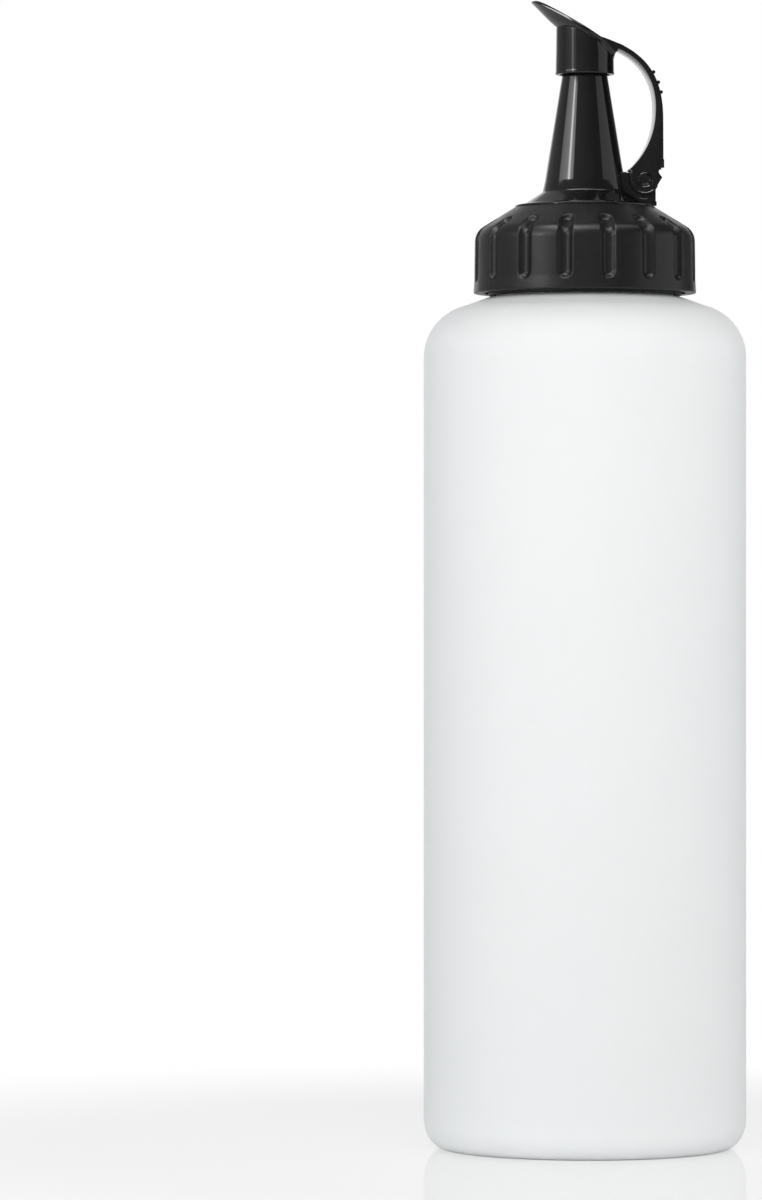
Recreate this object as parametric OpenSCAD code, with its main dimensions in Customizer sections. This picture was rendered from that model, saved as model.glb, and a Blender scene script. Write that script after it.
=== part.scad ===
// Squeeze bottle for sauces, with a screw collar and a nozzle closed by a flip cap.
// Millimetres, +Z up. The origin is the centre of the base, where the bottle stands.
// The flip cap's arm and its hinge lie on the +X side; the hinge pin runs along Y.

/* [Bottle] */
// Outer radius of the bottle's wall
body_r = 32; // [31:0.5:34]
// Height at which the straight wall ends and the shoulder begins
wall_h = 157; // [150:1:158]
// Radius of the shoulder's curve
shoulder_r = 10.5; // [9:0.5:11]
// Thickness of the squeezable wall
wall_t = 1.2; // [0.9:0.1:1.6]
// Height of the recess under the base
base_recess = 2.2; // [1:0.1:3]
// Height of the mouth's rim
mouth_h = 178.5; // [177.5:0.1:178.5]

/* [Screw thread] */
// Rise of the thread in one turn
pitch = 4.2; // [4:0.05:4.2]
// Radius of the neck under the thread
neck_r = 17; // [16.8:0.05:17]
// Radius of the neck thread's crest
crest_r = 18; // [17.8:0.05:18]
// Turns of thread on the neck
neck_turns = 0.95; // [0.8:0.05:0.95]
// Turns of thread inside the skirt
skirt_turns = 1.1; // [0.8:0.05:1.2]

/* [Collar] */
// Radius of the grip shell at its middle
shell_r = 21.95; // [21.8:0.05:22.05]
// Number of grip grooves round the shell
groove_count = 16; // [10:1:18]
// Width of a grip groove at the surface
groove_w = 2.9; // [2.4:0.1:3.1]
// Depth of a grip groove
groove_d = 0.95; // [0.6:0.05:1]
// Angle from the hinge side to the first groove, in degrees
groove_turn = 6.9; // [0:0.1:22]

/* [Nozzle] */
// Outer radius of the cone at its foot
cone_foot_r = 7.61; // [7.4:0.01:7.8]
// Outer radius of the cone just under the cap
cone_top_r = 4.59; // [4.4:0.01:4.6]
// Radius of the hole that the sauce leaves by
orifice_r = 1.6; // [1:0.1:1.8]

/* [Flip cap] */
// Outer radius of the hood at its mouth
hood_r = 5.81; // [5.75:0.01:5.9]
// Radius inside the hood's mouth
hood_bore_r = 5; // [4.95:0.01:5.05]
// Half the width of the arm and of the thumb tab's narrow end
arm_half = 3.5; // [3.2:0.1:3.8]
// Half the width of the thumb tab at its widest
tab_half = 6.3; // [5.8:0.1:6.5]
// Slope of the thumb tab below the horizontal, in degrees
tab_slope = 30.5; // [28:0.5:32]
// Radius of the hinge hub
hub_r = 3; // [2.8:0.05:3]
// Radius of the hinge pin
pin_r = 1.45; // [1.4:0.01:1.45]

/* [Hidden] */
milky = [0.93, 0.94, 0.94];
satin_black = [0.13, 0.13, 0.14];
gloss_black = [0.06, 0.06, 0.06];
soft_grey = [0.55, 0.55, 0.55];
steel_grey = [0.2, 0.2, 0.2];
eps = 0.01;

// Base corner, shoulder and neck
foot_r = 27.5;
corner_h = 6;
shoulder_c = body_r - shoulder_r;
shoulder_top = wall_h + shoulder_r;
bead_r = neck_r + 0.6;
mouth_bore_r = neck_r - 1.6;

// Thread form, as half widths along the axis
neck_tooth = [1.0, 0.5];
skirt_tooth = [0.9, 0.4];
skirt_bore_r = crest_r + 0.25;
skirt_r = 19.2;
skirt_crest_r = neck_r + 0.35;
skirt_z0 = 169.25;
thread_z0 = 173.2;

// Deck of the skirt, seal and shell
seal_z0 = mouth_h + 0.1;
seal_t = 1.2;
deck_z0 = 179.9;
deck_z1 = 181;
shell_z0 = 169.75;
shell_inner_r = 19.9;
shell_top_z = 186.85;
collar_hole_r = 12.15;
roof_foot = [20.6, 182.75];
roof_top = [13.9, 186.85];
roof_run = roof_foot[0] - roof_top[0];
roof_rise = roof_top[1] - roof_foot[1];
// Bottom of the grooves, upright and under the roof, and their rounded ends
groove_low_z = 173.35;
groove_top = 5.8;

// Nozzle and hinge
lip_r = 13.9;
lip_z0 = shell_top_z;
cone_foot_z = 194;
cone_top_z = 212.6;
tip_z = 214.5;
pin_x = 11.6;
pin_z = 192.36;
lug_half = 1.7;
slot_half = 1.9;
back_x = 13.98;
foot_z = 187;
hinge_hole_r = pin_r + 0.05;

// Hood and arm
hood_z0 = 213.2;
hood_bore_z1 = 215.8;
stem_bore_r = 2.5;
stem_bore_z1 = 219;
tab_z0 = 222.14;
tab_t = 0.5;

// Points on a cubic curve through hand-placed handles
function bezier(p, n) = [for (i = [0:n]) let (t = i / n, s = 1 - t)
    s * s * s * p[0] + 3 * s * s * t * p[1] + 3 * s * t * t * p[2] + t * t * t * p[3]];
// Points on an elliptical arc
function arc(c, a, b, a0, a1, n) = [for (i = [0:n]) let (w = a0 + (a1 - a0) * i / n)
    [c[0] + a * cos(w), c[1] + b * sin(w)]];
// How much of its full height a thread has at fraction t along it
function ramp(t) = max(0.02, min(1, t * 9, (1 - t) * 9));

// Closed helical rib of trapezoid section; tooth holds its half widths at root and crest
module thread_rib(r_root, r_crest, z0, turns, tooth) {
    n = round(turns * 40);
    ring = [for (i = [0:n])
        let (t = i / n, a = 360 * turns * t, z = z0 + pitch * turns * t, h = ramp(t))
        let (r1 = r_root + (r_crest - r_root) * h, w = tooth[0] + (tooth[1] - tooth[0]) * h)
        let (inward = r_crest < r_root, bury = inward ? 0.3 : -0.3)
        [for (q = [[r_root + bury, -tooth[0]], [r1, -w], [r1, w], [r_root + bury, tooth[0]]])
            [q[0] * cos(a), q[0] * sin(a), z + q[1]]]];
    points = [for (r = ring) each r];
    flip = r_crest < r_root;
    side = [for (i = [0:n - 1], k = [0:3]) let (a = 4 * i + k, b = 4 * i + (k + 1) % 4)
        each [[a, b, b + 4], [a, b + 4, a + 4]]];
    ends = [[0, 3, 2], [0, 2, 1], [4 * n, 4 * n + 1, 4 * n + 2], [4 * n, 4 * n + 2, 4 * n + 3]];
    faces = [for (f = concat(side, ends)) flip ? [f[0], f[2], f[1]] : f];
    polyhedron(points = points, faces = faces, convexity = 6);
}

// Bottle: thin wall of revolution with a recessed base, round shoulder and threaded neck
module bottle() {
    base = [[0, base_recess], [18, base_recess], [23, 0.5], [24.4, 0]];
    corner = arc([foot_r, corner_h], body_r - foot_r, corner_h, -90, 0, 9);
    shoulder = arc([shoulder_c, wall_h], shoulder_r, shoulder_r, 0, 78, 10);
    neck = [[shoulder_c - 0.3, shoulder_top + 0.6], [19.3, shoulder_top + 1.2],
        [bead_r, shoulder_top + 1.5], [bead_r, 170],
        [neck_r, 170.5], [neck_r, mouth_h - 0.4], [neck_r - 0.4, mouth_h]];
    inner_mouth = [[mouth_bore_r, mouth_h], [mouth_bore_r, 169.5], [mouth_bore_r + 0.5, 168.2],
        [19.3, shoulder_top + 1.2 - wall_t], [shoulder_c - 0.6, shoulder_top + 0.6 - wall_t]];
    inner_shoulder = arc([shoulder_c, wall_h], shoulder_r - wall_t, shoulder_r - wall_t, 78, 0, 10);
    inner_corner = arc([foot_r, corner_h + wall_t], body_r - foot_r - wall_t, corner_h, 0, -90, 9);
    inner_base = [[24.8, wall_t], [23.4, 0.6 + wall_t], [18.2, base_recess + wall_t],
        [0, base_recess + wall_t]];
    color(milky) union() {
        rotate_extrude($fn = 96)
            polygon(concat(base, corner, shoulder, neck, inner_mouth, inner_shoulder,
                inner_corner, inner_base));
        thread_rib(neck_r, crest_r, thread_z0, neck_turns, neck_tooth);
    }
}

// Soft flat ring between the mouth's rim and the skirt's deck
module seal_ring() {
    color(soft_grey) translate([0, 0, seal_z0]) difference() {
        cylinder(h = seal_t, r = neck_r + 0.6, $fn = 96);
        translate([0, 0, -1]) cylinder(h = seal_t + 2, r = 14.2, $fn = 96);
    }
}

// Groove outline with one round end, drawn along +Y; l is the straight part's length
module groove_outline(l) {
    r = groove_w / 2;
    polygon(concat([[r, l], [-r, l]], arc([0, 0], r, r, 180, 360, 10)));
}

// One grip groove, as the tool that cuts it: an upright part and a part along the roof
module groove_cutter() {
    translate([shell_r - groove_d, 0, groove_low_z]) rotate([90, 0, 90])
        linear_extrude(height = 3) groove_outline(12);
    translate([roof_top[0], 0, roof_top[1]]) rotate([0, atan2(roof_rise, roof_run), 0])
        translate([groove_top, 0, -groove_d]) rotate([0, 0, -90])
            linear_extrude(height = 4) groove_outline(6);
}

// Outer grip shell of the collar
module collar_shell() {
    inner_k = roof_rise / roof_run;
    color(satin_black) difference() {
        rotate_extrude($fn = 96) polygon([
            [shell_inner_r, shell_z0], [shell_r + 0.2, shell_z0], [shell_r + 0.15, shell_z0 + 0.9],
            [shell_r, 172], [shell_r - 0.03, 176], [shell_r - 0.1, 178.3], [shell_r - 0.17, 180.4],
            [shell_r - 0.43, 181.25], [shell_r - 0.8, 182.05], roof_foot, roof_top,
            [collar_hole_r, shell_top_z], [collar_hole_r, shell_top_z - 1.2],
            [19.5, shell_top_z - 1.2 - (19.5 - collar_hole_r) * inner_k], [shell_inner_r, 180.6]]);
        for (i = [0:groove_count - 1])
            rotate([0, 0, groove_turn + 360 * i / groove_count]) groove_cutter();
    }
}

// Inner threaded ring of the collar, with the deck that presses the seal
module thread_skirt() {
    color(satin_black) union() {
        rotate_extrude($fn = 96) polygon([
            [skirt_bore_r, skirt_z0], [skirt_r, skirt_z0], [skirt_r, deck_z1 - 0.4],
            [skirt_r - 0.4, deck_z1], [10.8, deck_z1], [10.8, deck_z0], [skirt_bore_r, deck_z0]]);
        thread_rib(skirt_bore_r, skirt_crest_r, thread_z0 - pitch / 2, skirt_turns, skirt_tooth);
    }
}

// Section of the hinge bracket that stands on the nozzle's skirt
module bracket_section() {
    polygon([[7, foot_z], [back_x, foot_z], [back_x, 190.7], [pin_x + 1, 191.4],
        [8.55, 193.75], [7, 193.75]]);
}

// Pouring nozzle with its flange, its hollow cone and the lug that carries the hinge pin
module nozzle() {
    color(gloss_black) difference() {
        union() {
            rotate_extrude($fn = 96) polygon([
                [0, deck_z1], [12.1, deck_z1], [12.1, lip_z0], [lip_r, lip_z0], [lip_r, lip_z0 + 0.3],
                [lip_r - 0.2, lip_z0 + 0.5], [12.3, lip_z0 + 0.6], [12, 187.55],
                [8.95, 189.55], [8.35, 190.25], [8.02, 191.2], [7.92, 192.1], [cone_foot_r, cone_foot_z],
                [cone_top_r, cone_top_z], [cone_top_r - 0.14, 213.4], [2.6, 213.6], [2.6, tip_z],
                [0, tip_z]]);
            intersection() {
                rotate([90, 0, 0]) linear_extrude(height = 2 * arm_half, center = true)
                    bracket_section();
                rotate([90, 0, 0]) linear_extrude(height = 2 * arm_half, center = true)
                    polygon([[6, foot_z], [back_x, foot_z], [back_x, 187.9], [12.2, 187.9],
                        [12.2, 196], [6, 196]]);
            }
            rotate([90, 0, 0]) linear_extrude(height = 2 * lug_half, center = true)
                bracket_section();
            translate([pin_x, 0, pin_z]) rotate([90, 0, 0])
                cylinder(h = 2 * lug_half, r = 2.6, center = true, $fn = 48);
        }
        // Way through for the sauce
        rotate_extrude($fn = 96) polygon([
            [0, deck_z1 - 1], [10.8, deck_z1 - 1], [10.8, 186.4], [7, 189.2], [6.9, 190.4],
            [6.35, cone_foot_z], [3.4, 211.6], [orifice_r, 212.9], [orifice_r, tip_z + 1],
            [0, tip_z + 1]]);
        // Room for the cap's two cheeks as they turn
        for (s = [-1, 1]) translate([pin_x, s * (lug_half + 5), pin_z])
            rotate([90, 0, 0]) cylinder(h = 10, r = 3.9, center = true, $fn = 64);
        translate([pin_x, 0, pin_z]) rotate([90, 0, 0])
            cylinder(h = 20, r = pin_r + eps, center = true, $fn = 48);
    }
}

// Hinge pin, a little shorter than the hub is wide
module hinge_pin() {
    color(steel_grey) translate([pin_x, 0, pin_z]) rotate([90, 0, 0])
        cylinder(h = 2 * arm_half - 0.1, r = pin_r, center = true, $fn = 48);
}

// Side view of the arm, from the thumb tab down to the hub
module arm_section() {
    top = [[1.5, 221.26], [4.3, 220.1]];
    outer = bezier([[7.1, 218.98], [12.0, 216.4], [15.35, 212.8], [15.3, 204]], 14);
    back = [[15.34, 196.3], [15.5, 196.3], [15.5, 194.6]];
    notch = arc([15.22, 193.82], 0.8, 0.8, 78, 205, 7);
    tooth = [[15.1, 192.7], [back_x - 0.1, 190.7]];
    hub = arc([pin_x, pin_z], hub_r, hub_r, -28, -215, 22);
    low = bezier([[8.65, 194.3], [11.75, 197.2], [13.7, 201.0], [13.8, 206]], 12);
    high = bezier([[13.8, 206], [14.0, 211.9], [11.2, 215.9], [6.6, 218.05]], 12);
    heel = [[6.2, 217.4], [5.75, 216.2], [5, 216.2], [0, 219]];
    polygon(concat(top, outer, back, notch, tooth, hub, low, high, heel));
}

// Outline of the thumb tab, seen square to its face; u runs down the slope
module tab_outline() {
    hull() {
        translate([-10.8, 0]) circle(r = 1.2, $fn = 32);
        translate([-6.5, 0]) circle(r = 4.4, $fn = 32);
        translate([-1.2, 0]) circle(r = tab_half, $fn = 32);
        translate([7.1, -arm_half]) square([0.4, 2 * arm_half]);
    }
}

// Moves its children onto the thumb tab's sloping face
module on_tab(down) {
    translate([0, 0, tab_z0 - down]) rotate([0, tab_slope, 0]) children();
}

// Flip cap: hood, flared thumb tab, curved arm and forked hub in one moulding
module flip_cap() {
    color(gloss_black) difference() {
        union() {
            // Hood, cut off at the tab's face
            intersection() {
                rotate_extrude($fn = 96) polygon([
                    [0, hood_z0], [hood_r - 0.25, hood_z0], [hood_r + 0.05, hood_z0 + 0.25],
                    [hood_r, hood_z0 + 0.7], [hood_r - 0.16, 222], [hood_r - 0.16, 228], [0, 228]]);
                on_tab(1) translate([-20, -20, -30]) cube([40, 40, 30]);
            }
            // Thumb tab and the flare that joins it to the hood
            hull() {
                on_tab(tab_t) linear_extrude(height = tab_t * cos(tab_slope)) tab_outline();
                on_tab(2.2) resize([2 * (hood_r - 0.17) / cos(tab_slope), 0, 0])
                    cylinder(h = 0.02, r = hood_r - 0.17, $fn = 32);
            }
            rotate([90, 0, 0]) linear_extrude(height = 2 * arm_half, center = true) arm_section();
            // Three small ribs on the arm's bend
            for (p = [[13.38, 213.65], [14.3, 211.6], [14.88, 209.65]])
                translate([p[0], 0, p[1]]) rotate([90, 0, 0])
                    cylinder(h = 2 * arm_half - 0.6, r = 0.36, center = true, $fn = 24);
        }
        // Mouth of the hood and the seat of the seal's stem
        translate([0, 0, hood_z0 - 1])
            cylinder(h = hood_bore_z1 - hood_z0 + 1, r = hood_bore_r, $fn = 64);
        translate([0, 0, hood_z0]) cylinder(h = stem_bore_z1 - hood_z0, r = stem_bore_r, $fn = 48);
        // Slot of the fork, open below and behind
        translate([5, -slot_half, 180]) cube([12, 2 * slot_half, 14.6]);
        translate([pin_x, -slot_half, 180]) cube([6, 2 * slot_half, 15.8]);
        translate([pin_x, 0, pin_z]) rotate([90, 0, 0])
            cylinder(h = 2 * slot_half, r = 3.3, center = true, $fn = 48);
        translate([pin_x, 0, pin_z]) rotate([90, 0, 0])
            cylinder(h = 20, r = hinge_hole_r, center = true, $fn = 48);
    }
}

// Soft seal inside the hood, with a shallow dome over the orifice
module tip_seal() {
    color(soft_grey) union() {
        translate([0, 0, tip_z + 0.1])
            cylinder(h = hood_bore_z1 - tip_z - 0.1, r = hood_bore_r - 0.02, $fn = 64);
        translate([0, 0, tip_z + 0.1])
            cylinder(h = stem_bore_z1 - 0.1 - tip_z - 0.1, r = stem_bore_r - 0.02, $fn = 48);
        translate([0, 0, tip_z - 0.2]) cylinder(h = 0.4, r1 = 0.9, r2 = 1.3, $fn = 48);
    }
}

bottle();
seal_ring();
collar_shell();
thread_skirt();
nozzle();
hinge_pin();
flip_cap();
tip_seal();
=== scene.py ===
"""Squeeze bottle for sauces with a screw collar, a pouring nozzle and a hinged flip cap.

Lengths inside the shape functions are millimetres in the part's own frame: +Z up, the
origin at the centre of the base, the hinge on the +X side and its pin along Y.
"""
import math

import bmesh
import bpy
from bpy.props import FloatProperty, FloatVectorProperty, IntProperty, PointerProperty
from bpy.types import Operator, Panel, PropertyGroup
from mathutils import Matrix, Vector


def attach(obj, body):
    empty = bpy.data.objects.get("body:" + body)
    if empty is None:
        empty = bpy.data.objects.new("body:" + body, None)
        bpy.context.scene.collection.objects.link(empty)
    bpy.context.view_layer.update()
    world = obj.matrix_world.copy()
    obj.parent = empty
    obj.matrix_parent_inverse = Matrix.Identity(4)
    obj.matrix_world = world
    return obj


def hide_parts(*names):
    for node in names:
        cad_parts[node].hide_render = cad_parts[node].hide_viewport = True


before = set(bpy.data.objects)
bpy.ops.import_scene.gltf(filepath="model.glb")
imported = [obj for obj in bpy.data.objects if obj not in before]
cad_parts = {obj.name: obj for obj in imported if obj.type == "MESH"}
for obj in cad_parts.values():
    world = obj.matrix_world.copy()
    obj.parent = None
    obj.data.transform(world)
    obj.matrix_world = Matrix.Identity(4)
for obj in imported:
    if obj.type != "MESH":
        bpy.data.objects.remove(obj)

bl_info = {
    "name": "Sauce Bottle",
    "version": (1, 0, 0),
    "blender": (4, 5, 0),
    "location": "3D View > Sidebar > Sauce Bottle",
    "description": "Builds a squeezable sauce bottle with a ribbed collar and a flip cap",
    "category": "Add Mesh",
}

MM = 0.001
BOTTLE, SEAL, COLLAR, FLIP = "bottle", "seal", "collar", "flip"
PIN = (11.6, 192.36)  # x and z of the hinge pin
PIN_R = 1.45
PITCH = 4.2  # rise of the screw thread in one turn
FORK_HALF = 1.9  # half the gap between the flip hub's cheeks


# Settings

class SauceBottleBody(PropertyGroup):
    """Sizes and colour of the squeezable body"""

    wall: FloatProperty(
        name="Wall", description="Thickness of the moulded wall",
        default=1.2 * MM, min=0.0008, max=0.0016, unit="LENGTH")
    grain: FloatProperty(
        name="Grain", description="Depth of the fine grain on the frosted skin",
        default=0.00003, min=0.0, max=0.0001, unit="LENGTH")
    color: FloatVectorProperty(
        name="Colour", description="Colour of the frosted plastic",
        default=(0.85, 0.865, 0.87), subtype="COLOR", min=0.0, max=1.0)


class SauceBottleCollar(PropertyGroup):
    """Sizes and colour of the screw collar"""

    grooves: IntProperty(
        name="Grooves", description="Number of grip grooves round the collar",
        default=16, min=10, max=18)
    groove_width: FloatProperty(
        name="Groove Width", description="Width of a groove at the surface",
        default=2.9 * MM, min=0.002, max=0.0032, unit="LENGTH")
    groove_depth: FloatProperty(
        name="Groove Depth", description="Depth of a groove at its middle",
        default=0.95 * MM, min=0.0005, max=0.001, unit="LENGTH")
    first_groove: FloatProperty(
        name="First Groove", description="Turn of the first groove from the hinge side",
        default=math.radians(6.9), unit="ROTATION")
    color: FloatVectorProperty(
        name="Colour", description="Colour of the satin plastic",
        default=(0.008, 0.0084, 0.0082), subtype="COLOR", min=0.0, max=1.0)


class SauceBottleCap(PropertyGroup):
    """Sizes and colour of the nozzle and the flip cap"""

    arm_width: FloatProperty(
        name="Arm Width", description="Width of the arm along the hinge pin",
        default=7.0 * MM, min=0.006, max=0.0076, unit="LENGTH")
    tab_width: FloatProperty(
        name="Tab Width", description="Width of the thumb tab at its widest",
        default=12.4 * MM, min=0.011, max=0.0126, unit="LENGTH")
    tab_slope: FloatProperty(
        name="Tab Slope", description="Fall of the thumb tab below the horizontal",
        default=math.radians(30.5), unit="ROTATION")
    color: FloatVectorProperty(
        name="Colour", description="Colour of the glossy plastic",
        default=(0.0062, 0.0066, 0.0064), subtype="COLOR", min=0.0, max=1.0)


class SauceBottleStage(PropertyGroup):
    """Camera and light"""

    distance: FloatProperty(
        name="Camera Distance", description="Distance from the camera to the bottle's axis plane",
        default=1.224, min=0.8, max=2.0, unit="LENGTH")
    eye: FloatProperty(
        name="Eye Level", description="Height of the camera over the base",
        default=0.10888, min=0.05, max=0.2, unit="LENGTH")
    swing: FloatProperty(
        name="Swing", description="Turn of the camera round the bottle's axis",
        default=math.radians(-3.5), unit="ROTATION")
    fill: FloatProperty(
        name="Fill", description="Strength of the even light from all round",
        default=0.82, min=0.0, max=2.0)


# Shape helpers

def arc(centre, a, b, start, end, steps):
    """Points on an elliptical arc; angles are in degrees."""
    return [(centre[0] + a * math.cos(math.radians(start + (end - start) * i / steps)),
             centre[1] + b * math.sin(math.radians(start + (end - start) * i / steps)))
            for i in range(steps + 1)]


def circle(x, y, r, steps):
    """Points round a full circle."""
    return [(x + r * math.cos(2 * math.pi * i / steps), y + r * math.sin(2 * math.pi * i / steps))
            for i in range(steps)]


def bezier(p, steps):
    """Points on a cubic curve; p holds its start, two handles and its end."""
    points = []
    for i in range(steps + 1):
        t = i / steps
        s = 1 - t
        k = (s * s * s, 3 * s * s * t, 3 * s * t * t, t * t * t)
        points.append(tuple(sum(k[j] * p[j][c] for j in range(4)) for c in range(2)))
    return points


def rounded(corners, closed=False):
    """Polyline whose corners (x, y, radius) are eased with arcs."""
    n = len(corners)
    points = []
    for i, corner in enumerate(corners):
        p = Vector(corner[:2])
        radius = corner[2] if len(corner) > 2 else 0
        if radius <= 0 or (not closed and i in (0, n - 1)):
            points.append(tuple(p))
            continue
        to_a = Vector(corners[i - 1][:2]) - p
        to_b = Vector(corners[(i + 1) % n][:2]) - p
        angle = to_a.angle(to_b)
        reach = min(radius / math.tan(angle / 2), 0.49 * to_a.length, 0.49 * to_b.length)
        turn = math.pi - angle
        if turn < 0.02 or reach <= 0:
            points.append(tuple(p))
            continue
        a = p + to_a.normalized() * reach
        b = p + to_b.normalized() * reach
        steps = max(2, round(math.degrees(turn) / 9))
        weight = math.cos(turn / 2)
        for j in range(steps + 1):
            t = j / steps
            w = (1 - t) ** 2 + 2 * weight * t * (1 - t) + t * t
            q = (a * (1 - t) ** 2 + p * (2 * weight * t * (1 - t)) + b * t * t) / w
            points.append(tuple(q))
    return points


def spaced(points, gap):
    """The same polyline with no stretch longer than gap."""
    out = [points[0]]
    for a, b in zip(points, points[1:]):
        steps = max(1, math.ceil(math.dist(a, b) / gap))
        out += [tuple(a[c] + (b[c] - a[c]) * i / steps for c in range(len(a)))
                for i in range(1, steps + 1)]
    return out


def lathe(profile, steps, closed=True, shape=None):
    """Verts and faces of a profile of (radius, height) turned round Z."""
    verts, faces = [], []
    rows = len(profile)
    for i in range(steps):
        w = 2 * math.pi * i / steps
        for j, (r, z) in enumerate(profile):
            if shape:
                r, z = shape(r, z, w, j)
            verts.append((r * math.cos(w), r * math.sin(w), z))
    for i in range(steps):
        k = (i + 1) % steps
        for j in range(rows if closed else rows - 1):
            m = (j + 1) % rows
            faces.append((i * rows + j, k * rows + j, k * rows + m, i * rows + m))
    return verts, faces


def loft(rings):
    """Verts and faces of a skin over closed rings with equal numbers of points."""
    count = len(rings[0])
    verts = [p for ring in rings for p in ring]
    faces = []
    for i in range(len(rings) - 1):
        for j in range(count):
            k = (j + 1) % count
            faces.append((i * count + j, i * count + k, (i + 1) * count + k, (i + 1) * count + j))
    faces.append(tuple(range(count)))
    faces.append(tuple((len(rings) - 1) * count + j for j in range(count)))
    return verts, faces


def slab(outline, half, middle=0.0):
    """Verts and faces of an outline in X and Z, thickened along Y by half on each side of middle."""
    lo, hi = middle - half, middle + half
    n = len(outline)
    verts = [(x, lo, z) for x, z in outline] + [(x, hi, z) for x, z in outline]
    faces = [tuple(range(n)), tuple(range(2 * n - 1, n - 1, -1))]
    faces += [(i, (i + 1) % n, n + (i + 1) % n, n + i) for i in range(n)]
    return verts, faces


def rod(x, z, r, half, steps=64):
    """Verts and faces of a closed rod along Y."""
    return slab(circle(x, z, r, steps), half)


def mesh_object(name, shape):
    """Object from verts in millimetres, with doubles joined and faces turned outwards."""
    verts, faces = shape
    mesh = bpy.data.meshes.new(name)
    mesh.from_pydata([tuple(c * MM for c in v) for v in verts], [], faces)
    bm = bmesh.new()
    bm.from_mesh(mesh)
    bmesh.ops.remove_doubles(bm, verts=bm.verts, dist=1e-7)
    bmesh.ops.recalc_face_normals(bm, faces=bm.faces)
    bm.to_mesh(mesh)
    bm.free()
    obj = bpy.data.objects.new(name, mesh)
    bpy.context.scene.collection.objects.link(obj)
    return obj


def combine(obj, operation, *shapes):
    """Takes shapes away from the object (DIFFERENCE) or fuses them with it (UNION)."""
    for shape in shapes:
        tool = mesh_object(obj.name + "_tool", shape)
        modifier = obj.modifiers.new("combine", "BOOLEAN")
        modifier.operation = operation
        modifier.solver = "EXACT"
        modifier.object = tool
        apply_modifiers(obj)
        bpy.data.objects.remove(tool)


def apply_modifiers(obj):
    """Writes the object's modifiers into its mesh."""
    graph = bpy.context.evaluated_depsgraph_get()
    mesh = bpy.data.meshes.new_from_object(obj.evaluated_get(graph))
    old = obj.data
    obj.modifiers.clear()
    obj.data = mesh
    mesh.name = obj.name
    bpy.data.meshes.remove(old)


def ease_edges(obj, width, segments=3):
    """Small rounds on all edges sharper than 35 degrees."""
    modifier = obj.modifiers.new("ease", "BEVEL")
    modifier.width = width * MM
    modifier.segments = segments
    modifier.limit_method = "ANGLE"
    modifier.angle_limit = math.radians(35)
    apply_modifiers(obj)


def finish_piece(obj, material, body, nodes=(), sharp=32):
    """Smooth shading, material and body of a piece; hides the imported parts that it stands for."""
    mesh = obj.data
    mesh.shade_smooth()
    mesh.set_sharp_from_angle(angle=math.radians(sharp))
    mesh.materials.clear()
    mesh.materials.append(material)
    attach(obj, body)
    if nodes:
        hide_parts(*nodes)


# Materials

def new_material(name):
    """Material with a shader linked to its output, and a source of coordinates."""
    material = bpy.data.materials.new(name)
    material.use_nodes = True
    nodes, links = material.node_tree.nodes, material.node_tree.links
    nodes.clear()
    out = nodes.new("ShaderNodeOutputMaterial")
    shader = nodes.new("ShaderNodeBsdfPrincipled")
    links.new(shader.outputs["BSDF"], out.inputs["Surface"])
    coords = nodes.new("ShaderNodeTexCoord")
    return material, nodes, links, shader, coords


def noise(nodes, links, coords, scale, detail, rough, stretch=None):
    """Noise in object space; stretch scales the coordinates."""
    texture = nodes.new("ShaderNodeTexNoise")
    texture.inputs["Scale"].default_value = scale
    texture.inputs["Detail"].default_value = detail
    texture.inputs["Roughness"].default_value = rough
    vector = coords.outputs["Object"]
    if stretch:
        mapping = nodes.new("ShaderNodeMapping")
        mapping.inputs["Scale"].default_value = stretch
        links.new(vector, mapping.inputs["Vector"])
        vector = mapping.outputs["Vector"]
    links.new(vector, texture.inputs["Vector"])
    return texture


def spread(nodes, links, socket, low, high):
    """Maps the middle of a texture's range to low and high."""
    node = nodes.new("ShaderNodeMapRange")
    node.inputs["From Min"].default_value = 0.3
    node.inputs["From Max"].default_value = 0.7
    node.inputs["To Min"].default_value = low
    node.inputs["To Max"].default_value = high
    links.new(socket, node.inputs["Value"])
    return node.outputs["Result"]


def tint(nodes, links, socket, dark, light):
    """Colour that runs from dark to light over the middle of a texture's range."""
    ramp = nodes.new("ShaderNodeValToRGB")
    for element, position, color in zip(ramp.color_ramp.elements, (0.35, 0.65), (dark, light)):
        element.position = position
        element.color = (*color, 1)
    links.new(socket, ramp.inputs["Fac"])
    return ramp.outputs["Color"]


def relief(nodes, links, shader, *layers):
    """Bump layers of (value socket, depth in metres, strength), one over the other."""
    last = None
    for value, depth, strength in layers:
        bump = nodes.new("ShaderNodeBump")
        bump.inputs["Distance"].default_value = depth
        bump.inputs["Strength"].default_value = strength
        links.new(value, bump.inputs["Height"])
        if last:
            links.new(last, bump.inputs["Normal"])
        last = bump.outputs["Normal"]
    links.new(last, shader.inputs["Normal"])


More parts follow.
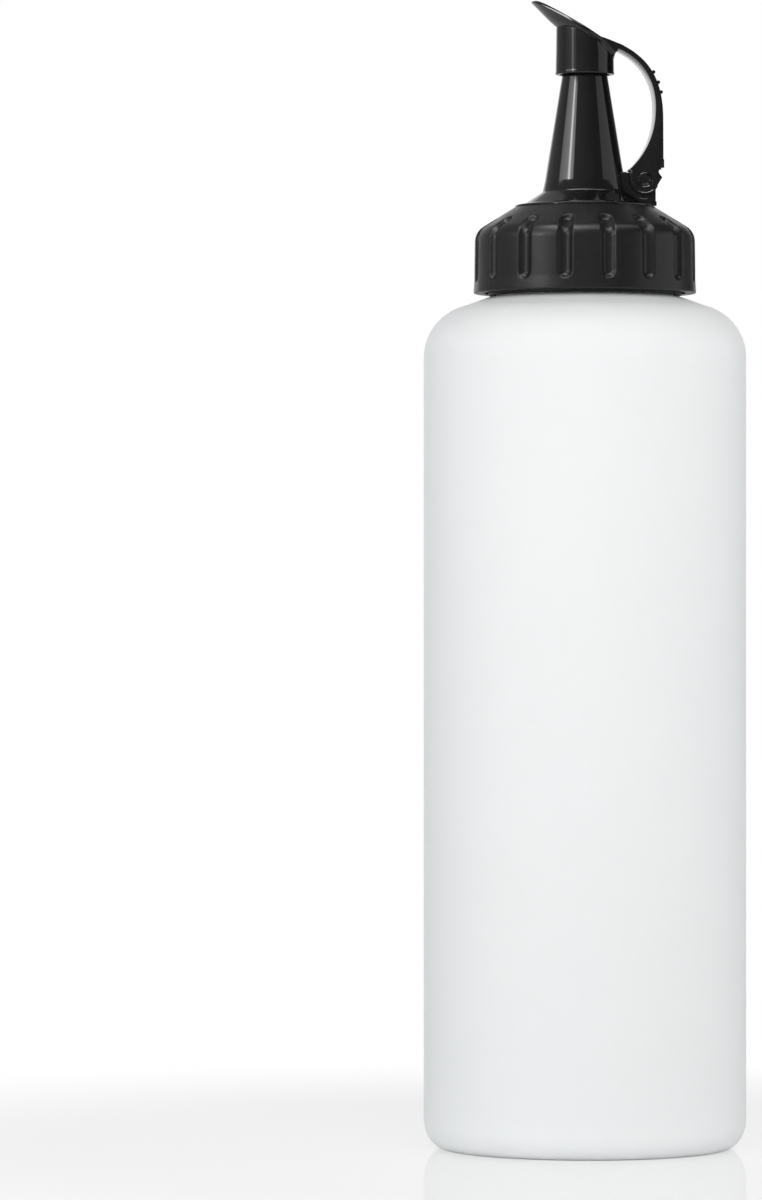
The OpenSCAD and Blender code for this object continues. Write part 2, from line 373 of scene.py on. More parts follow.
def frosted_plastic(settings):
    """Milky, frosted plastic of the body, with a fine grain and faint flow marks."""
    material, nodes, links, shader, coords = new_material("frosted_milky_plastic")
    r, g, b = settings.color
    cloud = noise(nodes, links, coords, 45.0, 2.0, 0.5, (1, 1, 0.35))
    color = tint(nodes, links, cloud.outputs["Fac"], (r * 0.985, g * 0.988, b * 0.992), (r, g, b))
    links.new(color, shader.inputs["Base Color"])
    grain = noise(nodes, links, coords, 2600.0, 2.0, 0.6)
    flow = noise(nodes, links, coords, 260.0, 3.0, 0.5, (1, 1, 0.25))
    links.new(spread(nodes, links, grain.outputs["Fac"], 0.50, 0.62), shader.inputs["Roughness"])
    relief(nodes, links, shader,
           (flow.outputs["Fac"], 0.00006, 0.25), (grain.outputs["Fac"], settings.grain, 0.6))
    shader.inputs["IOR"].default_value = 1.51
    shader.inputs["Specular IOR Level"].default_value = 0.3
    shader.inputs["Subsurface Weight"].default_value = 0.55
    shader.inputs["Subsurface Radius"].default_value = (1.0, 0.97, 0.94)
    shader.inputs["Subsurface Scale"].default_value = 0.004
    return material


def satin_plastic(name, color, low, high, grain=0.00002):
    """Black plastic with a fine even grain, slightly worn patches and a soft gloss."""
    material, nodes, links, shader, coords = new_material(name)
    cloud = noise(nodes, links, coords, 130.0, 4.0, 0.55)
    dark = tuple(c * 0.8 for c in color)
    links.new(tint(nodes, links, cloud.outputs["Fac"], dark, color), shader.inputs["Base Color"])
    fine = noise(nodes, links, coords, 3200.0, 2.0, 0.6)
    patch = noise(nodes, links, coords, 420.0, 3.0, 0.6)
    links.new(spread(nodes, links, patch.outputs["Fac"], low, high), shader.inputs["Roughness"])
    relief(nodes, links, shader,
           (patch.outputs["Fac"], grain, 0.2), (fine.outputs["Fac"], grain * 0.7, 0.7))
    shader.inputs["IOR"].default_value = 1.47
    shader.inputs["Specular IOR Level"].default_value = 0.4
    return material


def gloss_plastic(name, color, low=0.06, high=0.11):
    """Black plastic with a moulded gloss, hairline rubs and a faint ripple."""
    material, nodes, links, shader, coords = new_material(name)
    cloud = noise(nodes, links, coords, 160.0, 3.0, 0.5)
    dark = tuple(c * 0.75 for c in color)
    links.new(tint(nodes, links, cloud.outputs["Fac"], dark, color), shader.inputs["Base Color"])
    rubs = noise(nodes, links, coords, 900.0, 3.0, 0.65, (1, 1, 0.12))
    ripple = noise(nodes, links, coords, 210.0, 1.0, 0.4, (1, 1, 0.3))
    links.new(spread(nodes, links, rubs.outputs["Fac"], low, high), shader.inputs["Roughness"])
    relief(nodes, links, shader,
           (ripple.outputs["Fac"], 0.00003, 0.15), (rubs.outputs["Fac"], 0.000006, 0.3))
    shader.inputs["IOR"].default_value = 1.5
    return material


def soft_rubber(name, color):
    """Matt, soft sealing rubber with a dusty, lightly pitted skin."""
    material, nodes, links, shader, coords = new_material(name)
    cloud = noise(nodes, links, coords, 300.0, 4.0, 0.6)
    dark = tuple(c * 0.85 for c in color)
    links.new(tint(nodes, links, cloud.outputs["Fac"], dark, color), shader.inputs["Base Color"])
    pits = noise(nodes, links, coords, 1800.0, 3.0, 0.6)
    links.new(spread(nodes, links, pits.outputs["Fac"], 0.55, 0.75), shader.inputs["Roughness"])
    relief(nodes, links, shader, (pits.outputs["Fac"], 0.00004, 0.4))
    shader.inputs["IOR"].default_value = 1.41
    return material


# Bottle

def body_profile(wall):
    """Section of the body: base, round corner, wall, shoulder, neck and the same inside."""
    base = rounded([(0, 2.2), (17.5, 2.2, 9), (23.4, 0.45, 1.2), (24.4, 0, 0.6), (27.5, 0)])
    corner = arc((27.5, 6), 4.5, 6, -90, 0, 20)[1:]
    shoulder = arc((21.5, 157), 10.5, 10.5, 0, 76, 24)
    neck = rounded([shoulder[-1], (21.0, 168.3, 4.0), (19.3, 168.9, 2.0), (17.6, 169.1, 0.4),
                    (17.6, 170, 0.3), (17.0, 170.4, 0.4), (17.0, 178.5, 0.5), (15.4, 178.5, 0.4),
                    (15.4, 169.6, 1.5), (16.1, 168.0, 1.0), (21.0, 166.9)])[1:]
    inner_r = 10.5 - wall
    inner = arc((21.5, 157), inner_r, inner_r, 76, 0, 18)
    inner_corner = arc((27.5, 6 + wall), 4.5 - wall, 6, 0, -88, 14)
    floor = rounded([inner_corner[-1], (24.6, wall, 0.8), (23.2, 0.7 + wall, 1.2),
                     (17.5, 2.2 + wall, 8), (0, 2.2 + wall)])[1:]
    outer = spaced(base + corner + shoulder + neck[:-1], 4.0)
    return outer + spaced([neck[-1]] + inner + inner_corner + floor, 6.0)


def thread(root, crest, bottom, turns, tooth):
    """Rib that climbs one pitch a turn; tooth holds half its width at the foot and at the top."""
    count = round(turns * 96)
    fade = 9  # it grows and fades over a ninth of its length
    bury = -0.3 if crest > root else 0.3
    rings = []
    for i in range(count + 1):
        t = i / count
        w = 2 * math.pi * turns * t
        z = bottom + PITCH * turns * t
        h = max(0.02, min(1, t * fade, (1 - t) * fade))
        h = h * h * (3 - 2 * h)
        top = root + (crest - root) * h
        half = tooth[0] + (tooth[1] - tooth[0]) * h
        ease = (crest - root) * 0.16 * h
        section = [(root + bury, -tooth[0]), (root, -tooth[0]), (top - ease, -half - 0.06 * h),
                   (top, -half * 0.7), (top, half * 0.7), (top - ease, half + 0.06 * h),
                   (root, tooth[0]), (root + bury, tooth[0])]
        rings.append([(r * math.cos(w), r * math.sin(w), z + dz) for r, dz in section])
    return loft(rings)


class SAUCEBOTTLE_OT_body(Operator):
    """Build the frosted body with its shoulder, neck and screw thread"""

    bl_idname = "sauce_bottle.body"
    bl_label = "Body"

    def execute(self, context):
        settings = context.scene.sauce_body
        material = frosted_plastic(settings)
        wall = settings.wall / MM
        body = mesh_object("bottle_body", lathe(body_profile(wall), 192))
        finish_piece(body, material, BOTTLE, ("bottle",), sharp=50)
        rib = mesh_object("bottle_thread", thread(17.0, 18.0, 173.2, 0.95, (1.0, 0.5)))
        finish_piece(rib, material, BOTTLE)
        return {"FINISHED"}


# Collar

def groove_depth(r, z, w, settings, line):
    """Depth of the nearest groove under a point of the collar's surface.

    line is the height where a groove's middle line starts and the radius where it ends.
    """
    soft = 0.22  # width of the rounding on each side of a groove's edge
    roof_slope = 1.19  # length along the roof for each millimetre of radius
    width = settings.groove_width / MM / 2
    depth = settings.groove_depth / MM
    step = 2 * math.pi / settings.grooves
    turn = (w - settings.first_groove + step / 2) % step - step / 2
    side = r * math.sin(turn)
    low, high = line
    along = max(low - z, 0.0)
    over = max(high - r, 0.0) * roof_slope
    off = math.hypot(side, max(along, over))
    if off >= width + soft:
        return 0.0
    ball = (width * width + depth * depth) / (2 * depth)
    scoop = math.sqrt(max(ball * ball - off * off, 0.0)) - (ball - depth)
    if off > width - soft:
        t = (width + soft - off) / (2 * soft)
        edge = math.sqrt(max(ball * ball - (width - soft) ** 2, 0.0)) - (ball - depth)
        return edge * t * t
    return scoop


class SAUCEBOTTLE_OT_collar(Operator):
    """Build the grip shell with its rounded grooves"""

    bl_idname = "sauce_bottle.collar"
    bl_label = "Collar"

    def execute(self, context):
        settings = context.scene.sauce_collar
        outer = spaced(rounded([
            (19.95, 169.77), (22.1, 169.77, 0.25), (22.05, 170.8, 1.5), (21.95, 172.4, 4),
            (21.92, 176, 6), (21.83, 181.98, 3.4), (13.95, 186.84, 0.4), (12.2, 186.84)]), 0.22)
        inner = rounded([(12.2, 186.84), (12.2, 185.7, 0.3), (19.4, 181.25, 0.6),
                         (19.95, 180.6, 0.3), (19.95, 169.77)])[1:-1]
        line = (173.3, 18.9)
        lowest_z, least_r = 171.0, 14.5  # no groove reaches past these
        # The cut goes straight in on the wall and tips over with the roof above corner_z
        corner_z, corner_rise, roof_tilt = 180.6, 2.2, math.radians(58)

        def shape(r, z, w, j):
            if j >= len(outer) or z < lowest_z or r < least_r:
                return r, z
            d = groove_depth(r, z, w, settings, line)
            tilt = min(1.0, max(0.0, (z - corner_z) / corner_rise)) * roof_tilt
            return r - d * math.cos(tilt), z - d * math.sin(tilt)

        columns = settings.grooves * 40
        shell = mesh_object("collar_grip_shell", lathe(outer + inner, columns, shape=shape))
        material = satin_plastic("satin_black_plastic", settings.color, 0.27, 0.37, 0.00003)
        finish_piece(shell, material, COLLAR, ("collar_shell",), sharp=60)
        return {"FINISHED"}


class SAUCEBOTTLE_OT_skirt(Operator):
    """Build the threaded skirt and the seal inside the collar"""

    bl_idname = "sauce_bottle.skirt"
    bl_label = "Skirt and Seal"

    def execute(self, context):
        color = tuple(c * 0.9 for c in context.scene.sauce_collar.color)
        material = satin_plastic("skirt_black_plastic", color, 0.3, 0.42)
        ring = rounded([(18.25, 169.27, 0.12), (19.2, 169.27, 0.25), (19.2, 181.0, 0.5),
                        (10.8, 181.0, 0.15), (10.8, 179.9, 0.15), (18.25, 179.9, 0.3)], closed=True)
        skirt = mesh_object("thread_skirt_ring", lathe(ring, 192))
        finish_piece(skirt, material, COLLAR, ("thread_skirt",))
        rib = mesh_object("thread_skirt_rib", thread(18.25, 17.35, 171.1, 1.1, (0.9, 0.4)))
        finish_piece(rib, material, COLLAR)
        rubber = soft_rubber("seal_rubber", (0.42, 0.42, 0.4))
        section = rounded([(14.2, 178.6, 0.15), (17.6, 178.6, 0.15), (17.6, 179.8, 0.15),
                           (16.6, 179.8, 0.1), (16.4, 179.55, 0.1), (15.4, 179.55, 0.1),
                           (15.2, 179.8, 0.1), (14.2, 179.8, 0.15)], closed=True)
        seal = mesh_object("mouth_seal", lathe(section, 160))
        finish_piece(seal, rubber, SEAL, ("seal_ring",))
        return {"FINISHED"}


# Nozzle

def nozzle_profile():
    """Section of the nozzle: flange lip, skirt cone, spout, tip and the bore."""
    outer = rounded([(10.9, 181.05), (12.1, 181.05, 0.2), (12.1, 186.85), (13.9, 186.85, 0.06),
                     (13.9, 187.24, 0.27), (12.6, 187.44, 0.2), (12.0, 187.56, 0.2),
                     (8.42, 189.85, 0.9), (7.94, 192.0, 0.5), (4.45, 213.4, 0.12),
                     (2.6, 213.6, 0.15), (2.6, 214.48, 0.2), (1.6, 214.48, 0.15)])
    bore = rounded([(1.6, 214.48), (1.6, 212.9, 0.4), (3.4, 211.6, 1), (6.35, 194, 3),
                    (6.9, 190.4, 1), (7.1, 189.2, 1), (10.8, 186.4, 1), (10.9, 181.05)])[1:-1]
    return spaced(outer, 3.0) + spaced(bore, 6.0)


def hoops(arcs, thick):
    """Thin round beads about the hinge axis, one for each (radius, y, first angle, last angle)."""
    steps, sides = 64, 10
    verts, faces = [], []
    for radius, y, first, last in arcs:
        rings = []
        for i in range(steps + 1):
            a = math.radians(first + (last - first) * i / steps)
            rings.append([(PIN[0] + r * math.cos(a), v, PIN[1] + r * math.sin(a))
                          for r, v in circle(radius, y, thick, sides)])
        start = len(verts)
        more_verts, more_faces = loft(rings)
        verts += more_verts
        faces += [tuple(start + k for k in face) for face in more_faces]
    return verts, faces


class SAUCEBOTTLE_OT_nozzle(Operator):
    """Build the pouring nozzle, its hinge bracket and the pin"""

    bl_idname = "sauce_bottle.nozzle"
    bl_label = "Nozzle"

    def execute(self, context):
        settings = context.scene.sauce_cap
        material = gloss_plastic("gloss_black_plastic", settings.color)
        spout = mesh_object("nozzle_spout", lathe(nozzle_profile(), 192))
        finish_piece(spout, material, COLLAR, ("nozzle",), sharp=40)

        half = settings.arm_width / MM / 2
        foot = [(6.8, 187.1), (13.98, 187.1), (13.98, 187.9), (12.2, 188.3), (12.0, 193.75),
                (6.8, 193.75)]
        bracket = mesh_object("nozzle_bracket", slab(foot, half))
        combine(bracket, "DIFFERENCE", rod(*PIN, 3.9, half + 1, 96))
        web = [(6.8, 187.1), (13.98, 187.1), (13.98, 190.8), (12.9, 191.2), (12.9, 193.75),
               (6.8, 193.75)]
        web_half = FORK_HALF - 0.2
        lug = mesh_object("nozzle_lug", slab(web, web_half))
        combine(lug, "UNION", rod(*PIN, 2.6, web_half))
        combine(lug, "DIFFERENCE", rod(*PIN, PIN_R + 0.01, 3, 48), rod(12.3, 195.6, 3.2, 3))
        arch = rounded([(12.85, 187.2), (12.85, 189.1, 0.4), (13.78, 189.1, 0.4), (13.78, 187.2)])
        combine(lug, "UNION", slab(arch, FORK_HALF - 0.05))
        ease_edges(bracket, 0.16)
        ease_edges(lug, 0.12)
        for part in (bracket, lug):
            finish_piece(part, material, COLLAR)

        pin_color = tuple(c * 1.1 for c in settings.color)
        pin_material = gloss_plastic("pin_black_plastic", pin_color, 0.1, 0.16)
        pin = mesh_object("hinge_pin_rod", rod(*PIN, PIN_R, half - 0.06))
        for side in (-1, 1):
            dish = slab(circle(*PIN, 1.05, 32), 0.45, side * half)
            combine(pin, "DIFFERENCE", dish)
        ease_edges(pin, 0.17, 4)
        finish_piece(pin, pin_material, COLLAR, ("hinge_pin",))
        arcs = [(1.17, y, 20, 160) for y in (0.14 - half, half - 0.14)]
        rims = mesh_object("hinge_pin_rims", hoops(arcs, 0.12))
        finish_piece(rims, pin_material, COLLAR)
        return {"FINISHED"}


# Flip cap

# The thumb tab's tip, widest place and end, along its slope from the hood's axis
TAB_TIP, TAB_WIDE, TAB_END = -11.75, -1.2, 7.5
TAB_NARROW = 3.45  # half its width at the end, where the arm takes over
TAB_TOP_Z = 222.14  # height of its face on the hood's axis


def tab_half(u, widest):
    """Half width of the thumb tab, u along its slope from the hood's axis."""
    if u <= TAB_WIDE:
        t = (u - TAB_TIP) / (TAB_WIDE - TAB_TIP)
        return widest * math.sqrt(max(0.0, 1 - (1 - t) ** 2.1)) ** 0.92
    t = min(1.0, (u - TAB_WIDE) / (TAB_END - TAB_WIDE))
    s = t * t * (3 - 2 * t)
    return widest + (TAB_NARROW - widest) * s


def tab_outline(widest, count):
    """Closed outline of the thumb tab as (u, y), even in angle round the hood."""
    samples = 400
    dense = []
    for i in range(samples):
        t = i / (samples - 1)
        u = TAB_TIP + (TAB_END - TAB_TIP) * (t * t * (3 - 2 * t) * 0.5 + t * 0.5)
        dense.append((u, tab_half(u, widest)))
    loop = [(u, -y) for u, y in dense] + [(u, y) for u, y in reversed(dense)]
    angles = [math.atan2(y, u) % (2 * math.pi) for u, y in loop]

    def past(i, a):
        return (angles[i % len(loop)] - a + math.pi) % (2 * math.pi) - math.pi

    points = []
    for k in range(count):
        a = 2 * math.pi * k / count
        for i, p in enumerate(loop):
            d0, d1 = past(i, a), past(i + 1, a)
            if min(d0, d1) <= 0 <= max(d0, d1) and abs(d1 - d0) < 1:
                q = loop[(i + 1) % len(loop)]
                f = 0.0 if d1 == d0 else -d0 / (d1 - d0)
                points.append((p[0] + (q[0] - p[0]) * f, p[1] + (q[1] - p[1]) * f))
                break
    return points


def hood_shape(settings):
    """Skin of the hood: rounded mouth, flare, rim bead and dished thumb tab."""
    count = 160
    cs, sn = math.cos(settings.tab_slope), math.sin(settings.tab_slope)

    def on_tab(u, y, down):
        return (u * cs - down * sn, y, TAB_TOP_Z - u * sn - down * cs)

    inside = [(2.5, 219.0), (2.5, 215.8), (5.0, 215.8), (5.0, 213.35), (5.12, 213.22)]
    outside = [(5.6, 213.2), (5.8, 213.25), (5.88, 213.4), (5.86, 213.6), (5.81, 213.75),
               (5.8, 214.1), (5.77, 216.0), (5.73, 217.6)]
    rings = [[(x, y, z) for x, y in circle(0, 0, r, count)] for r, z in inside + outside]

    # The flare runs from feet on the hood's wall to lips under the tab's edge
    outline = tab_outline(settings.tab_width / MM / 2, count)
    flare_r, lip_drop, highest_foot = 5.66, 0.78, 222.9
    feet = []
    for x, y in circle(0, 0, flare_r, count):
        z = TAB_TOP_Z - sn / cs * x - 1.25 - 1.5 * (x / flare_r) ** 2
        feet.append((x, y, min(z, highest_foot)))
    lips = [on_tab(u, v, lip_drop) for u, v in outline]
    rings.append([(x * 1.004, y * 1.004, z - 0.35) for x, y, z in feet])
    flare_steps = 8
    for i in range(flare_steps + 1):
        t = i / flare_steps
        bend = 0.9 * t * (1 - t) * (1 - t)
        rings.append([(f[0] + (p[0] - f[0]) * t, f[1] + (p[1] - f[1]) * t,
                       f[2] + (p[2] - f[2]) * t - bend) for f, p in zip(feet, lips)])

    # Rim bead and dished face, as (scale of the outline, depth under the face)
    bead = [(1.008, 0.76), (1.016, 0.7), (1.018, 0.62), (1.014, 0.52), (0.98, 0.12), (0.962, 0.03),
            (0.945, 0.0), (0.92, 0.03), (0.89, 0.14), (0.84, 0.24), (0.7, 0.3), (0.4, 0.33),
            (0.1, 0.34)]
    rings += [[on_tab(u * scale, v * scale, down) for u, v in outline] for scale, down in bead]
    return loft(rings)


def arm_outline():
    """Side view of the arm from the tab to the hub."""
    top = [(1.5, 221.1), (4.3, 220.1)]
    outer = bezier([(7.1, 218.98), (12.0, 216.4), (15.35, 212.8), (15.3, 204)], 36)
    back = rounded([(15.34, 196.3), (15.48, 196.22, 0.1), (15.48, 194.6)])
    notch = arc((15.22, 193.82), 0.8, 0.8, 78, 205, 14)
    tooth = [(15.1, 192.7), (13.9, 190.7)]
    hub = arc(PIN, 3.0, 3.0, -28, -214, 48)
    low = bezier([(8.65, 194.3), (11.75, 197.2), (13.7, 201.0), (13.8, 206)], 28)
    high = bezier([(13.8, 206), (14.0, 211.9), (11.2, 215.9), (6.95, 217.95)], 28)[1:]
    return top + outer + back + notch + tooth + hub + low + high + [(6.3, 218.15), (1.5, 220.3)]


class SAUCEBOTTLE_OT_flip_cap(Operator):
    """Build the flip cap: hood, thumb tab, arm, hub and the seal inside"""

    bl_idname = "sauce_bottle.flip_cap"
    bl_label = "Flip Cap"

    def execute(self, context):
        settings = context.scene.sauce_cap
        material = gloss_plastic("flip_black_plastic", settings.color)
        hood = mesh_object("flip_hood", hood_shape(settings))
        finish_piece(hood, material, FLIP, ("flip_cap",), sharp=40)

        half = settings.arm_width / MM / 2
        arm = mesh_object("flip_arm", slab(arm_outline(), half))
        slot = [(4, 180), (17.6, 180), (17.6, 195.8), (11.6, 195.8), (10.2, 195.3), (8.9, 194.6),
                (4, 194.6)]
        combine(arm, "DIFFERENCE", slab(slot, FORK_HALF), rod(*PIN, PIN_R + 0.05, half + 2))
        ease_edges(arm, 0.26, 4)
        finish_piece(arm, material, FLIP)
        arcs = [(r, y, first, last)
                for r, first, last in ((1.64, -112, 0), (1.64, 165, 235), (2.76, 150, 335))
                for y in (0.04 - half, half - 0.04)]
        beads = mesh_object("flip_hub_beads", hoops(arcs, 0.14))
        finish_piece(beads, material, FLIP)

        for i, (x, z) in enumerate([(13.42, 213.62), (14.36, 211.6), (14.92, 209.65)]):
            rib = mesh_object("flip_rib_%d" % (i + 1), rod(x, z, 0.36, half - 0.25, 32))
            ease_edges(rib, 0.14)
            finish_piece(rib, material, FLIP)

        rubber = soft_rubber("plug_rubber", (0.36, 0.36, 0.34))
        section = rounded([(0, 214.32), (0.8, 214.34, 0.3), (1.3, 214.6, 0.15), (4.95, 214.6, 0.15),
                           (4.95, 215.79, 0.1), (2.45, 215.79, 0.1), (2.45, 218.9, 0.2), (0, 218.9)])
        plug = mesh_object("hood_seal", lathe(section, 96, closed=False))
        finish_piece(plug, rubber, FLIP, ("tip_seal",))
        return {"FINISHED"}


# Stage

def area_light(name, azimuth, low, high, width, distance, power, color=(1, 1, 1), target=None):
    """Soft box at an azimuth from the camera side; low and high are its edges' heights.

    It faces the bottle's axis at the target height, or at its own middle.
    """
    data = bpy.data.lights.new(name, "AREA")
    data.shape = "RECTANGLE"
    data.size = width
    data.size_y = high - low
    data.energy = power
    data.color = color
    obj = bpy.data.objects.new(name, data)
    w = math.radians(azimuth - 90)
    middle = (low + high) / 2
    obj.location = (distance * math.cos(w), distance * math.sin(w), middle)
    aim = Vector((0, 0, middle if target is None else target)) - obj.location
    obj.rotation_euler = aim.to_track_quat("-Z", "Y").to_euler()
    bpy.context.scene.collection.objects.link(obj)
    return obj


def build_world(scene, settings):
    """Even fill for matt light, bright patches for the gloss and white for the backdrop."""
    world = bpy.data.worlds.new("studio_fill")
    scene.world = world
    world.use_nodes = True
    nodes, links = world.node_tree.nodes, world.node_tree.links
    nodes.clear()

    def calc(operation, a, b=None):
        node = nodes.new("ShaderNodeMath")
        node.operation = operation
        for i, value in enumerate((a, b)):
            if value is None:
                continue
            if isinstance(value, (int, float)):
                node.inputs[i].default_value = value
            else:
                links.new(value, node.inputs[i])
        return node.outputs[0]

    def ramp(value, start, end, low, high, kind="LINEAR"):
        node = nodes.new("ShaderNodeMapRange")
        node.interpolation_type = kind
        for key, number in (("From Min", start), ("From Max", end), ("To Min", low), ("To Max", high)):
            node.inputs[key].default_value = number
        links.new(value, node.inputs["Value"])
        return node.outputs["Result"]

    def band(value, low, high, soft):
        rise = ramp(value, low - soft, low + soft, 0.0, 1.0)
        fall = ramp(value, high - soft, high + soft, 1.0, 0.0)
        return calc("MULTIPLY", rise, fall)

    def product(*values):
        total = values[0]
        for value in values[1:]:
            total = calc("MULTIPLY", total, value)
        return total

    coords = nodes.new("ShaderNodeTexCoord")
    axes = nodes.new("ShaderNodeSeparateXYZ")
    links.new(coords.outputs["Generated"], axes.inputs["Vector"])
    x, y, z = (axes.outputs[k] for k in "XYZ")
    turn = calc("DEGREES", calc("ARCTAN2", x, calc("MULTIPLY", y, -1.0)))
    rise = calc("DEGREES", calc("ARCSINE", z))
    away = calc("ABSOLUTE", turn)

    # Patches that only gloss sees, in degrees round from the camera side and up from the floor
    soft = ramp(turn, -88, -58, 2.2, 4.2)
    tube = product(band(turn, -57, -52, 3.0), 14.0)
    box_height = band(rise, -6, 24.0, 0.8)
    left = product(calc("ADD", soft, tube), band(turn, -88, -41, 0.8), box_height,
                   ramp(rise, 8, 20, 0.2, 1.0, "SMOOTHSTEP"))
    right = product(band(turn, 51, 114, 0.8), box_height, 0.75)
    behind = product(ramp(away, 146, 158, 0.0, 1.0), ramp(rise, 20, 33, 1.0, 0.0))
    front = ramp(turn, -35, 30, 0.36, 0.1)
    above = product(band(rise, 54, 70, 2.0), band(turn, -80, 90, 5.0),
                    ramp(turn, -10, 40, 1.0, 0.35), 7.0)
    shine = left
    for patch in (right, behind, front, above):
        shine = calc("MAXIMUM", shine, patch)

    path = nodes.new("ShaderNodeLightPath")
    fill = nodes.new("ShaderNodeBackground")
    fill.inputs["Color"].default_value = (0.972, 0.99, 1.0, 1)
    overhead = settings.fill * 0.12
    links.new(ramp(rise, 15, 75, settings.fill, overhead), fill.inputs["Strength"])
    boxes = nodes.new("ShaderNodeBackground")
    links.new(shine, boxes.inputs["Strength"])
    white = nodes.new("ShaderNodeBackground")
    out = nodes.new("ShaderNodeOutputWorld")
    last = fill
    for key, layer in (("Is Glossy Ray", boxes), ("Is Camera Ray", white)):
        layer.inputs["Color"].default_value = (1, 1, 1, 1)
        mix = nodes.new("ShaderNodeMixShader")
        links.new(path.outputs[key], mix.inputs["Fac"])
        links.new(last.outputs[0], mix.inputs[1])
        links.new(layer.outputs[0], mix.inputs[2])
        last = mix
    links.new(last.outputs[0], out.inputs["Surface"])


def build_floor(scene):
    """Pale floor with a faint reflection, which turns to plain white away from the bottle."""
    size = 3.0
    mesh = bpy.data.meshes.new("floor")
    mesh.from_pydata([(-size, -size, 0), (size, -size, 0), (size, size, 0), (-size, size, 0)],
                     [], [(0, 1, 2, 3)])
    floor = bpy.data.objects.new("floor", mesh)
    scene.collection.objects.link(floor)
    material = bpy.data.materials.new("pale_floor")
    material.use_nodes = True
    nodes, links = material.node_tree.nodes, material.node_tree.links
    nodes.clear()
    mesh.materials.append(material)

    matt = nodes.new("ShaderNodeBsdfDiffuse")
    matt.inputs["Color"].default_value = (0.93, 0.93, 0.935, 1)
    gloss = nodes.new("ShaderNodeBsdfGlossy")
    gloss.inputs["Roughness"].default_value = 0.03
    sheen = nodes.new("ShaderNodeFresnel")
    sheen.inputs["IOR"].default_value = 1.3
    surface = nodes.new("ShaderNodeMixShader")
    links.new(sheen.outputs[0], surface.inputs["Fac"])
    links.new(matt.outputs[0], surface.inputs[1])
    links.new(gloss.outputs[0], surface.inputs[2])

    # Share of white that the camera sees, by distance from the bottle's axis in metres
    coords = nodes.new("ShaderNodeTexCoord")
    far = nodes.new("ShaderNodeVectorMath")
    far.operation = "LENGTH"
    links.new(coords.outputs["Object"], far.inputs[0])
    fade = nodes.new("ShaderNodeMapRange")
    fade.interpolation_type = "SMOOTHSTEP"
    fade.inputs["From Min"].default_value = 0.10
    fade.inputs["From Max"].default_value = 0.24
    fade.inputs["To Min"].default_value = 0.54
    links.new(far.outputs["Value"], fade.inputs["Value"])
    path = nodes.new("ShaderNodeLightPath")
    show = nodes.new("ShaderNodeMath")
    show.operation = "MULTIPLY"
    links.new(fade.outputs["Result"], show.inputs[0])
    links.new(path.outputs["Is Camera Ray"], show.inputs[1])

    glow = nodes.new("ShaderNodeEmission")
    mix = nodes.new("ShaderNodeMixShader")
    links.new(show.outputs[0], mix.inputs["Fac"])
    links.new(surface.outputs[0], mix.inputs[1])
    links.new(glow.outputs[0], mix.inputs[2])
    out = nodes.new("ShaderNodeOutputMaterial")
    links.new(mix.outputs[0], out.inputs["Surface"])
    return floor


def light_only(lamp, objects):
    """Limits a lamp to the given objects."""
    lit = bpy.data.collections.new("lit_by_" + lamp.name)
    for obj in objects:
        lit.objects.link(obj)
    lamp.light_linking.receiver_collection = lit


def build_lamps(scene, floor):
    """Soft boxes round the bottle; the gloss sees only the crown and rim boxes."""
    left = area_light("left_box", -64, 0.02, 0.55, 0.66, 0.8, 1.1)
    right = area_light("right_box", 84, 0.02, 0.55, 0.9, 0.8, 1.0)
    key = area_light("key_box", 0, 0.25, 0.7, 0.6, 0.72, 3.2, (1.0, 0.982, 0.955), 0.15)
    crown = area_light("crown_box", -38, 0.5, 0.8, 0.5, 0.5, 0.8, target=0.18)
    rim = area_light("rim_box", -12, 0.9, 2.2, 1.3, 0.6, 48.0, target=0.21)
    back = area_light("back_box", 180, 0.05, 0.6, 0.7, 0.8, 1.7)
    for lamp in (left, right, key, back):
        lamp.visible_glossy = False
    rim.visible_diffuse = False

    shiny = ("flip_hood", "flip_arm", "flip_hub_beads", "hinge_pin_rims", "nozzle_bracket",
             "nozzle_lug")
    pieces = [obj for obj in scene.objects if obj.type == "MESH" and obj != floor]
    light_only(crown, [bpy.data.objects["collar_grip_shell"]])
    light_only(rim, [bpy.data.objects[name] for name in shiny])
    light_only(back, pieces)


def build_camera(scene, settings):
    """Long lens about level with the middle of the bottle, a little to the left of its axis."""
    data = bpy.data.cameras.new("camera")
    data.sensor_fit = "VERTICAL"
    data.sensor_height = 36.0
    data.lens = 184.8
    data.clip_start = 0.05
    camera = bpy.data.objects.new("camera", data)
    scene.collection.objects.link(camera)
    w = settings.swing
    x, y = -0.0405, -settings.distance  # before the swing round the bottle
    camera.location = (x * math.cos(w) - y * math.sin(w), x * math.sin(w) + y * math.cos(w),
                       settings.eye)
    camera.rotation_euler = (math.radians(90), 0, w)
    scene.camera = camera


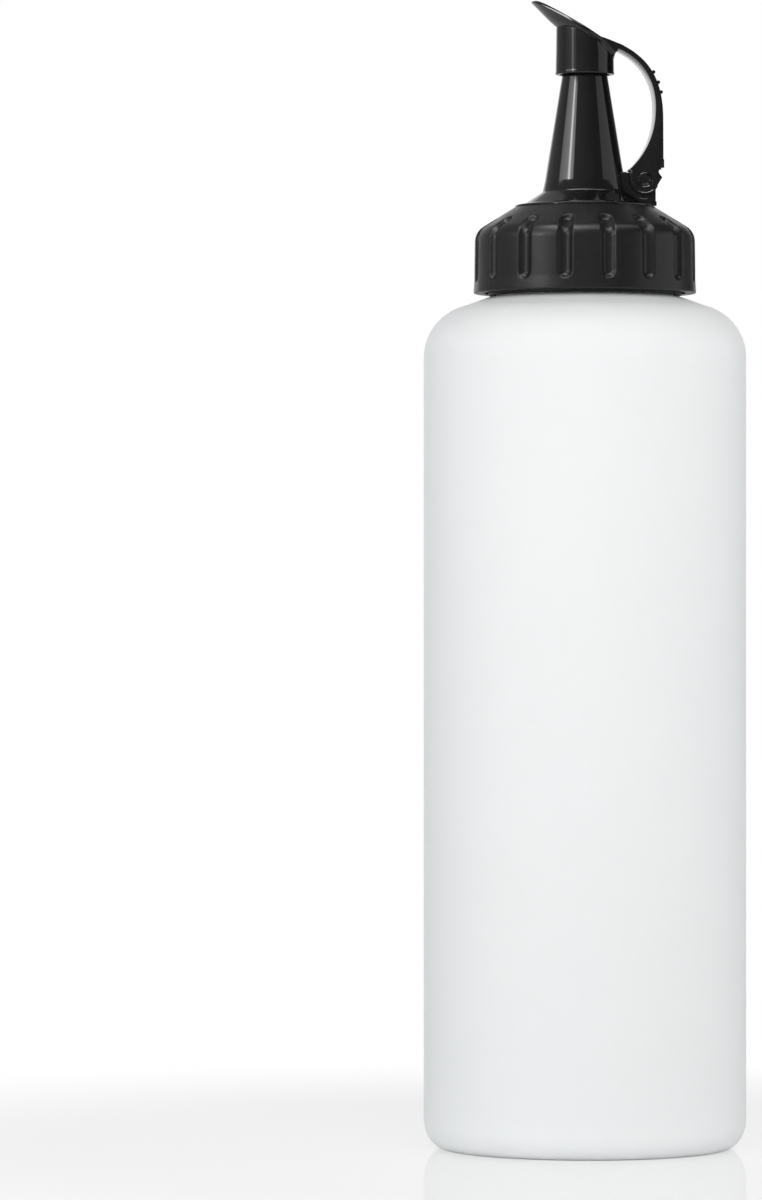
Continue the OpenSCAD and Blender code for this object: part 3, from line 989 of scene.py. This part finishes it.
class SAUCEBOTTLE_OT_stage(Operator):
    """Build the floor, the soft light and the camera"""

    bl_idname = "sauce_bottle.stage"
    bl_label = "Stage"

    def execute(self, context):
        scene = context.scene
        settings = scene.sauce_stage
        scene.view_settings.view_transform = "Standard"
        build_world(scene, settings)
        floor = build_floor(scene)
        build_lamps(scene, floor)
        build_camera(scene, settings)
        return {"FINISHED"}


class SAUCEBOTTLE_PT_panel(Panel):
    """Lists the settings and the build steps"""

    bl_idname = "SAUCEBOTTLE_PT_panel"
    bl_label = "Sauce Bottle"
    bl_space_type = "VIEW_3D"
    bl_region_type = "UI"
    bl_category = "Sauce Bottle"

    def draw(self, context):
        layout = self.layout
        for name in ("sauce_body", "sauce_collar", "sauce_cap", "sauce_stage"):
            box = layout.box()
            group = getattr(context.scene, name)
            for key in group.__annotations__:
                box.prop(group, key)
        for operator in OPERATORS:
            layout.operator(operator.bl_idname)


GROUPS = {
    "sauce_body": SauceBottleBody,
    "sauce_collar": SauceBottleCollar,
    "sauce_cap": SauceBottleCap,
    "sauce_stage": SauceBottleStage,
}
OPERATORS = (SAUCEBOTTLE_OT_body, SAUCEBOTTLE_OT_collar, SAUCEBOTTLE_OT_skirt,
             SAUCEBOTTLE_OT_nozzle, SAUCEBOTTLE_OT_flip_cap, SAUCEBOTTLE_OT_stage)


def register():
    for group in GROUPS.values():
        bpy.utils.register_class(group)
    for name, group in GROUPS.items():
        setattr(bpy.types.Scene, name, PointerProperty(type=group))
    for operator in OPERATORS:
        bpy.utils.register_class(operator)
    bpy.utils.register_class(SAUCEBOTTLE_PT_panel)


def unregister():
    bpy.utils.unregister_class(SAUCEBOTTLE_PT_panel)
    for operator in reversed(OPERATORS):
        bpy.utils.unregister_class(operator)
    for name in GROUPS:
        delattr(bpy.types.Scene, name)
    for group in reversed(GROUPS.values()):
        bpy.utils.unregister_class(group)


def main():
    register()
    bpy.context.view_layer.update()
    bpy.ops.sauce_bottle.body()
    bpy.ops.sauce_bottle.collar()
    bpy.ops.sauce_bottle.skirt()
    bpy.ops.sauce_bottle.nozzle()
    bpy.ops.sauce_bottle.flip_cap()
    bpy.ops.sauce_bottle.stage()


if __name__ == "__main__":
    main()
